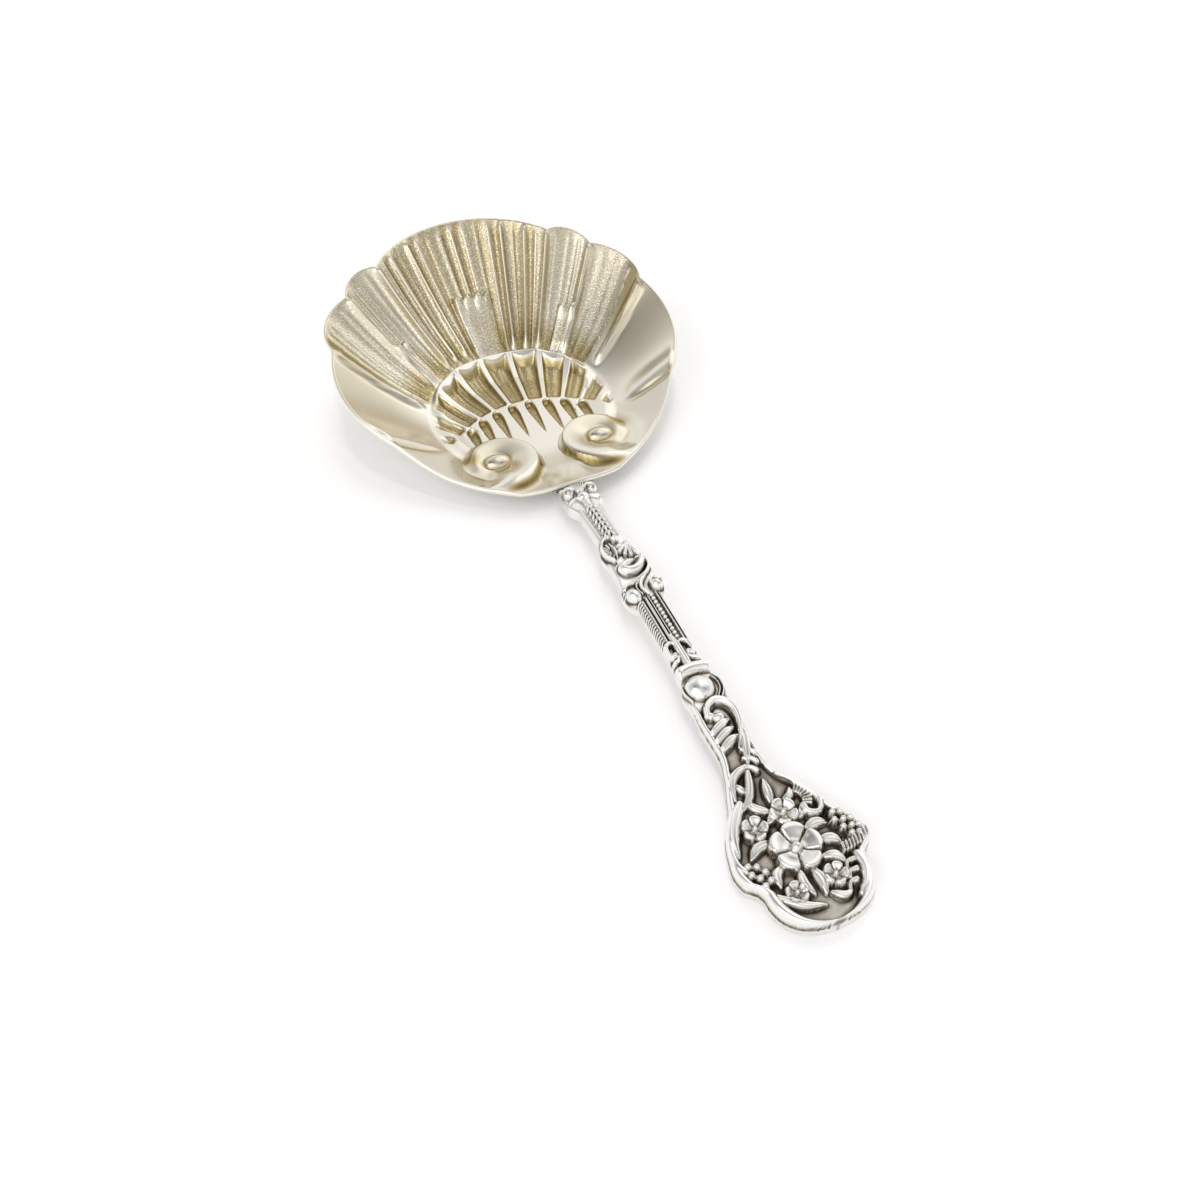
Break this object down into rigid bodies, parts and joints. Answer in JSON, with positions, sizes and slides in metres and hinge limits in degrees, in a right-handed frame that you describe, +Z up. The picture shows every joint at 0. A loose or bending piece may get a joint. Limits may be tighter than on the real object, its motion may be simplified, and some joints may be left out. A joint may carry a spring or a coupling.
{
  "type": "bonbon spoon",
  "caption": "Small serving spoon with a fluted, scalloped shell bowl, gilt inside, soldered to a slim oxidised silver handle with scroll ornament and a broad cartouche end.",
  "frame": {"origin": "middle of the spoon's length and width, on the table that it lies on", "axes": "+X to the right, +Y from the handle's end to the bowl's far lip, +Z up"},
  "size_m": [0.0554, 0.1316, 0.0176],
  "materials": {
    "gilt_bowl": "pale, worn gilding on silver, polished on the petals and satin on the flutes",
    "oxidised_silver": "polished sterling silver with dark oxide left in the recesses of the relief",
    "silver_solder": "dull silver solder"
  },
  "bodies": {
    "root": {"bowl": "gilt_bowl", "handle": "oxidised_silver", "solder_seam": "silver_solder"}
  },
  "joints": []
}
